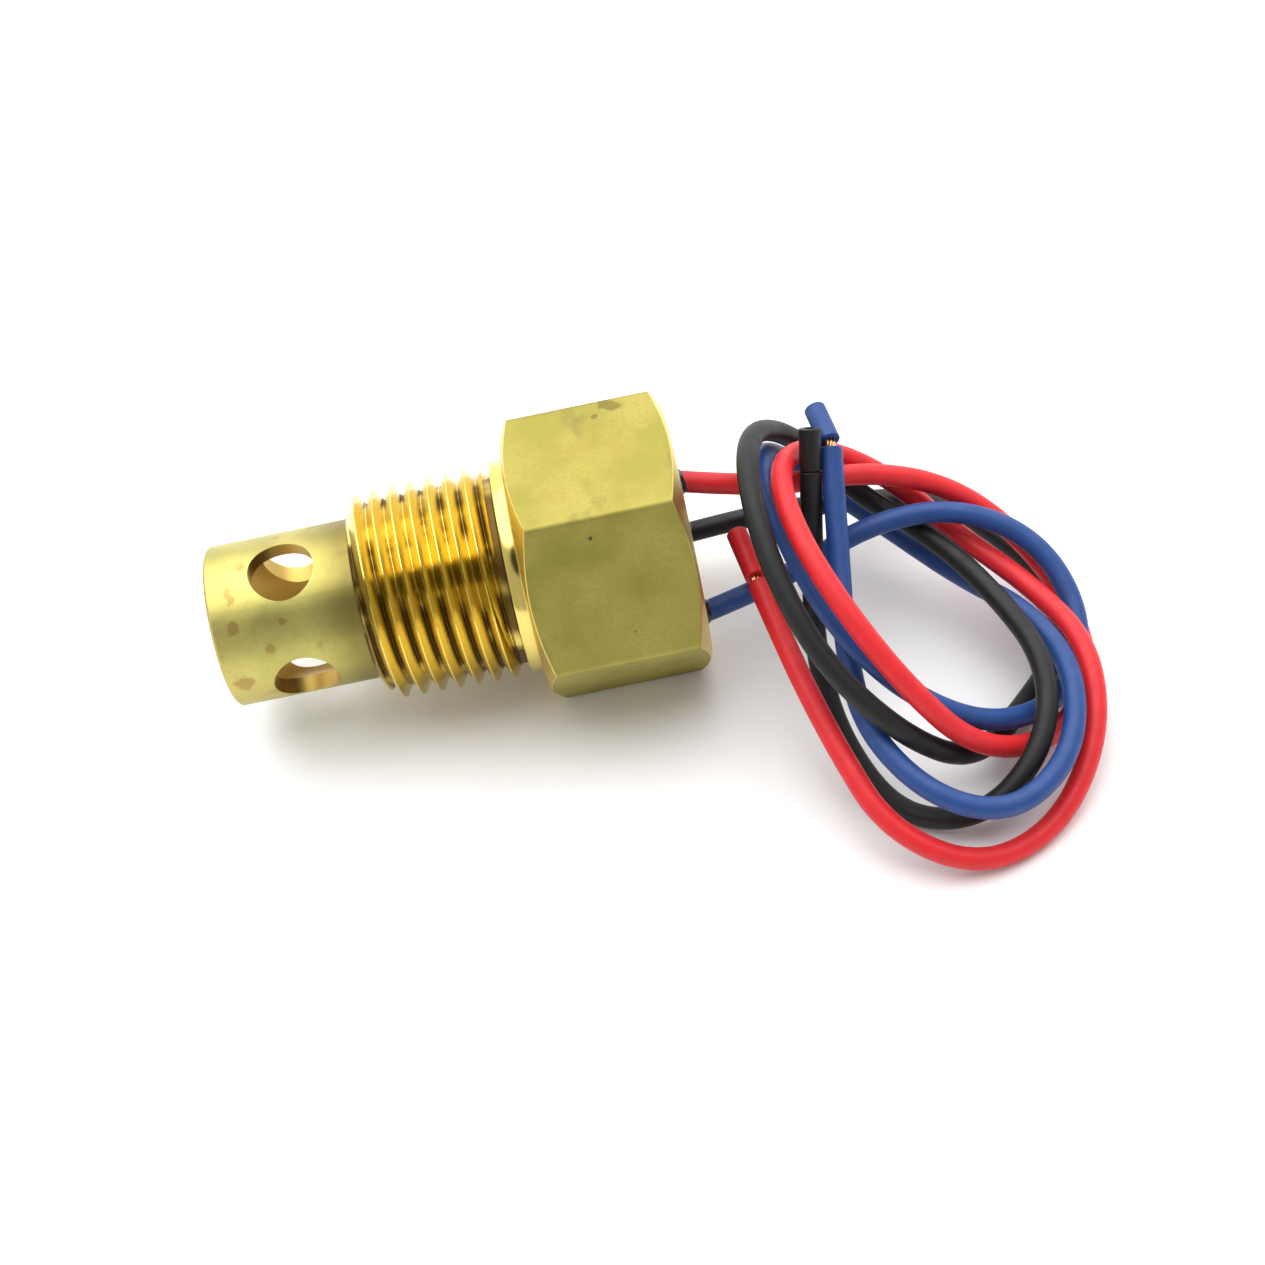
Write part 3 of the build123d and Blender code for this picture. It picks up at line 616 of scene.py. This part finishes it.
def body_brass(name):
    """Bright turned brass, dull on the hexagon's flats, with painted shade in patches in the thread's
    roots.
    """
    material, tree, shader = new_material(name)
    shader.inputs["Metallic"].default_value = 1.0
    place = add_node(tree, "ShaderNodeTexCoord")
    spot = tree.nodes.new("ShaderNodeSeparateXYZ")
    tree.links.new(place.outputs["Object"], spot.inputs[0])
    facing = tree.nodes.new("ShaderNodeSeparateXYZ")
    tree.links.new(place.outputs["Normal"], facing.inputs[0])
    on_hex = math_node(tree, "GREATER_THAN", spot.outputs["X"], (X_HEX + 0.05) * MM)
    before_back = math_node(tree, "LESS_THAN", spot.outputs["X"], (X_BACK - 0.05) * MM)
    level_face = math_node(tree, "LESS_THAN", math_node(tree, "ABSOLUTE", facing.outputs["X"]), 0.2)
    dull = math_node(tree, "MULTIPLY", math_node(tree, "MULTIPLY", on_hex, before_back), level_face)

    turning = noise(tree, 1.0, 3.0, (9000, 60, 60))
    bright = ramp(tree, turning, [(0.3, (0.71, 0.55, 0.145)), (0.7, (0.77, 0.61, 0.18))])
    clouds = noise(tree, 170, 4.0)
    grain = noise(tree, 4200, 2.0)
    oxide = ramp(tree, clouds, [(0.36, (0.315, 0.275, 0.062)), (0.5, (0.38, 0.33, 0.082)),
                                (0.66, (0.43, 0.365, 0.10))])
    oxide = mix_colour(tree, math_node(tree, "MULTIPLY", step(tree, grain, 0.35, 0.7), 0.35), oxide,
                       (0.27, 0.24, 0.06))
    stains = step(tree, noise(tree, 260, 5.0, (1, 0.5, 0.5)), 0.60, 0.74)
    oxide = mix_colour(tree, math_node(tree, "MULTIPLY", stains, 0.45), oxide, (0.17, 0.145, 0.05))
    oxide = mix_colour(tree, math_node(tree, "MULTIPLY", specks(tree, 300, 0.11, 0.22), 0.7), oxide,
                       (0.10, 0.07, 0.02))

    oxide = mix_colour(tree, marks(tree, TOP_SMUDGES, 0.6), oxide, (0.13, 0.10, 0.03))
    oxide = mix_colour(tree, marks(tree, WARM_STAINS, 0.16), oxide, (0.36, 0.22, 0.05))
    oxide = mix_colour(tree, marks(tree, FACE_SPECKS, 0.8), oxide, (0.07, 0.05, 0.02))

    station = math_node(tree, "MULTIPLY", spot.outputs["X"], 1 / MM)
    crest = math_node(tree, "ADD", THREAD_END_R - X_GROOVE * THREAD_TAPER,
                      math_node(tree, "MULTIPLY", station, THREAD_TAPER))
    depth = math_node(tree, "SUBTRACT", crest, from_axis(tree, spot))
    # Patches of the thread's roots, found by their depth below the crest, are darkened to dark brown:
    # painted shade.
    low = step(tree, depth, 0.66 * THREAD_DEPTH, 0.95 * THREAD_DEPTH)
    on_thread = math_node(tree, "LESS_THAN", station, X_COLLAR + 0.01)
    patches = step(tree, noise(tree, 130, 3.0, (0.7, 1, 1)), 0.42, 0.54)
    root_shade = math_node(tree, "MULTIPLY", math_node(tree, "MULTIPLY", low, on_thread), patches)
    bright = mix_colour(tree, math_node(tree, "MULTIPLY", root_shade, 0.92), bright, (0.07, 0.030, 0.008))

    tree.links.new(mix_colour(tree, dull, bright, oxide), shader.inputs["Base Color"])
    shine = math_node(tree, "ADD", 0.10, math_node(tree, "MULTIPLY", turning, 0.10))
    shine = math_node(tree, "ADD", shine, math_node(tree, "MULTIPLY", root_shade, 0.3))
    shine = math_node(tree, "ADD", shine, math_node(tree, "MULTIPLY", on_hex, 0.2))
    matt = math_node(tree, "ADD", 0.50, math_node(tree, "MULTIPLY", clouds, 0.16))
    choice = tree.nodes.new("ShaderNodeMix")
    tree.links.new(dull, choice.inputs[0])
    tree.links.new(shine, choice.inputs[2])
    tree.links.new(matt, choice.inputs[3])
    tree.links.new(choice.outputs[0], shader.inputs["Roughness"])
    height = math_node(tree, "ADD", math_node(tree, "MULTIPLY", grain, dull),
                       math_node(tree, "MULTIPLY", turning, 0.35))
    bump(tree, shader, height, 0.12, 0.00001)
    return material


def tube_brass(name):
    """Satin drawn brass with brown handling marks and a darker band beside the thread."""
    material, tree, shader = new_material(name)
    shader.inputs["Metallic"].default_value = 1.0
    place = add_node(tree, "ShaderNodeTexCoord")
    spot = tree.nodes.new("ShaderNodeSeparateXYZ")
    tree.links.new(place.outputs["Object"], spot.inputs[0])
    clouds = noise(tree, 210, 5.0)
    grain = noise(tree, 2600, 3.0)
    base = ramp(tree, clouds, [(0.36, (0.44, 0.39, 0.115)), (0.52, (0.52, 0.465, 0.14)),
                               (0.68, (0.55, 0.475, 0.15))])
    base = mix_colour(tree, math_node(tree, "MULTIPLY", step(tree, grain, 0.4, 0.75), 0.25), base,
                      (0.35, 0.30, 0.09))
    edge = step(tree, math_node(tree, "ADD", spot.outputs["X"], math_node(tree, "MULTIPLY", clouds, 0.006)),
                -0.0120, -0.0070)
    base = mix_colour(tree, math_node(tree, "MULTIPLY", edge, 0.8), base, (0.19, 0.145, 0.04))
    handled = step(tree, noise(tree, 420, 4.0), 0.58, 0.72)
    base = mix_colour(tree, math_node(tree, "MULTIPLY", handled, 0.4), base, (0.30, 0.21, 0.07))
    base = mix_colour(tree, marks(tree, TUBE_MARKS, 0.55), base, (0.30, 0.16, 0.045))
    inside = math_node(tree, "LESS_THAN", from_axis(tree, spot), GUARD_R - 0.1)
    base = mix_colour(tree, inside, base, (0.52, 0.36, 0.10))
    tree.links.new(base, shader.inputs["Base Color"])
    rough = math_node(tree, "ADD", 0.33, math_node(tree, "MULTIPLY", clouds, 0.18))
    tree.links.new(math_node(tree, "ADD", rough, math_node(tree, "MULTIPLY", handled, 0.1)),
                   shader.inputs["Roughness"])
    bump(tree, shader, math_node(tree, "ADD", grain, clouds), 0.12, 0.00002)
    return material


def plastic(name, colour, rough, vary=0.12, gloss=0.5):
    """A moulded or extruded plastic with a slight mottle."""
    material, tree, shader = new_material(name)
    darker = tuple(value * (1 - vary) for value in colour)
    lighter = tuple(min(value * (1 + vary), 1) for value in colour)
    shader.inputs["Specular IOR Level"].default_value = gloss
    grain = noise(tree, 700, 4.0)
    tree.links.new(ramp(tree, grain, [(0.35, darker), (0.65, lighter)]), shader.inputs["Base Color"])
    shade = ramp(tree, grain, [(0.3, (rough * 1.15,) * 3), (0.7, (rough * 0.9,) * 3)])
    tree.links.new(shade, shader.inputs["Roughness"])
    bump(tree, shader, grain, 0.1, 0.00002)
    return material


# Marks on the hexagon and on the guard tube: a point in millimetres and a radius for each.
TOP_SMUDGES = [((17.9, 6.4, 25.4), 0.9), ((17.1, 6.9, 25.4), 0.7), ((16.0, 5.3, 25.4), 0.35)]
WARM_STAINS = [((14.2, 1.3, 25.4), 1.6), ((15.2, 2.4, 25.4), 1.2), ((11.2, -3.9, 25.4), 1.2),
               ((17.7, 0.7, 25.4), 1.3)]
FACE_SPECKS = [((13.5, -8.3, 23.7), 0.16), ((15.8, -13.2, 15.2), 0.16)]
TUBE_MARKS = [((-21.3, -3.0, 20.1), 0.7), ((-21.3, -5.5, 18.4), 0.65), ((-21.7, -7.9, 13.1), 1.0),
              ((-18.4, -7.1, 16.2), 0.5), ((-16.7, -5.7, 18.2), 0.4)]
materials = {
    "hex_body_brass": body_brass("hex_body_brass"),
    "guard_tube_brass": tube_brass("guard_tube_brass"),
    "plug_brass": metal("plug_brass", (0.70, 0.52, 0.22), (0.55, 0.38, 0.15), 0.3),
    "seal_rubber": plastic("seal_rubber", (0.02, 0.02, 0.02), 0.6),
    "diaphragm_film": plastic("diaphragm_film", (0.5, 0.25, 0.06), 0.3),
    "clamp_ring_brass": metal("clamp_ring_brass", (0.72, 0.55, 0.24), (0.60, 0.42, 0.16), 0.3),
    "piston_steel": metal("piston_steel", (0.62, 0.62, 0.62), (0.50, 0.50, 0.50), 0.25),
    "spring_steel": metal("spring_steel", (0.50, 0.50, 0.52), (0.40, 0.40, 0.42), 0.3),
    "guide_plate_steel": metal("guide_plate_steel", (0.60, 0.60, 0.62), (0.48, 0.48, 0.50), 0.3),
    "push_tip_plastic": plastic("push_tip_plastic", (0.75, 0.72, 0.62), 0.4),
    "contact_ring_plastic": plastic("contact_ring_plastic", (0.05, 0.03, 0.02), 0.45),
    "switch_base_plastic": plastic("switch_base_plastic", (0.05, 0.03, 0.02), 0.45),
    "terminal_brass": metal("terminal_brass", (0.78, 0.60, 0.26), (0.66, 0.48, 0.18), 0.3),
    "pivot_steel": metal("pivot_steel", (0.62, 0.62, 0.62), (0.52, 0.52, 0.52), 0.22),
    "contact_arm_brass": metal("contact_arm_brass", (0.76, 0.48, 0.24), (0.64, 0.38, 0.18), 0.3),
    "contact_silver": metal("contact_silver", (0.85, 0.84, 0.80), (0.72, 0.71, 0.68), 0.2),
    "solder": metal("solder", (0.60, 0.61, 0.62), (0.45, 0.46, 0.47), 0.4),
    "dam_plastic": plastic("dam_plastic", (0.03, 0.03, 0.03), 0.5),
    "potting_resin": plastic("potting_resin", (0.012, 0.015, 0.022), 0.22),
    "red_insulation": plastic("red_insulation", (0.66, 0.014, 0.020), 0.46, vary=0.05, gloss=0.4),
    "black_insulation": plastic("black_insulation", (0.007, 0.0075, 0.0075), 0.48, gloss=0.35),
    "blue_insulation": plastic("blue_insulation", (0.013, 0.056, 0.22), 0.46, vary=0.07, gloss=0.4),
    "copper_strands": metal("copper_strands", (0.86, 0.45, 0.20), (0.70, 0.33, 0.13), 0.25),
}


def paint(obj, slot):
    """Give a piece the material of a slot."""
    obj.data.materials.clear()
    obj.data.materials.append(materials[slot])


for entry in frame["record"]["subparts"]:
    paint(nodes[entry["node"]], entry["material_slot"])
for piece, slot in painted:
    paint(piece, slot)

# ---- floor and light ------------------------------------------------------------------------------
FLOOR_REACH = 3.0               # metres from the middle to each side
FLOOR_DROP = 0.00002            # metres below the switch, so that faces don't coincide
FLOOR_GREY = (0.89, 0.91)
ROOM_LIGHT = 0.74
BOX_LIGHT = 2.5
BACK_LIGHT = 0.9
FRONT_SHADE = 0.12
CAMERA_SHADE = 0.92


def build_floor():
    """A large pale matt floor."""
    data = bpy.data.meshes.new("floor")
    corners = [(-1, -1), (1, -1), (1, 1), (-1, 1)]
    data.from_pydata([(x * FLOOR_REACH, y * FLOOR_REACH, 0) for x, y in corners], [], [(0, 1, 2, 3)])
    plate = bpy.data.objects.new("floor", data)
    scene.collection.objects.link(plate)
    plate.location = (0, 0, -FLOOR_DROP)
    material, tree, shader = new_material("floor")
    shader.inputs["Roughness"].default_value = 0.9
    shader.inputs["Specular IOR Level"].default_value = 0.1
    darker, lighter = [(grey,) * 3 for grey in FLOOR_GREY]
    tone = ramp(tree, noise(tree, 20.0), [(0.3, darker), (0.7, lighter)])
    tree.links.new(tone, shader.inputs["Base Color"])
    data.materials.append(material)


def studio():
    """A white room: a large soft light above, more light behind than in front, and a dark camera."""
    world = bpy.data.worlds.new("studio")
    world.use_nodes = True
    tree = world.node_tree
    way = add_node(tree, "ShaderNodeTexCoord").outputs["Generated"]

    def cap(centre, inner, outer):
        """1 within the inner angle of a direction, 0 beyond the outer angle."""
        node = add_node(tree, "ShaderNodeVectorMath", operation="DOT_PRODUCT")
        tree.links.new(way, node.inputs[0])
        node.inputs[1].default_value = Vector(centre).normalized()
        return step(tree, node.outputs["Value"], cos(radians(outer)), cos(radians(inner)))

    soft_box = cap((0, 0.267, 0.963), 34, 42)
    behind = math_node(tree, "SUBTRACT", cap((0, 1, 0.25), 50, 75), soft_box, clamp=True)
    before = math_node(tree, "SUBTRACT", cap((0, -1, 0.1), 45, 75), soft_box, clamp=True)
    dark = cap((0.01, -0.574, 0.819), 15, 20)
    strength = math_node(tree, "ADD", ROOM_LIGHT, math_node(tree, "MULTIPLY", soft_box, BOX_LIGHT))
    strength = math_node(tree, "ADD", strength, math_node(tree, "MULTIPLY", behind, BACK_LIGHT))
    strength = math_node(tree, "SUBTRACT", strength, math_node(tree, "MULTIPLY", before, FRONT_SHADE))
    strength = math_node(tree, "MULTIPLY", strength,
                         math_node(tree, "SUBTRACT", 1.0, math_node(tree, "MULTIPLY", dark, CAMERA_SHADE)))
    background = tree.nodes["Background"]
    background.inputs["Color"].default_value = (1, 1, 1, 1)
    tree.links.new(strength, background.inputs["Strength"])
    scene.world = world


build_floor()
studio()

scene.view_settings.view_transform = "Standard"
scene.view_settings.look = "None"
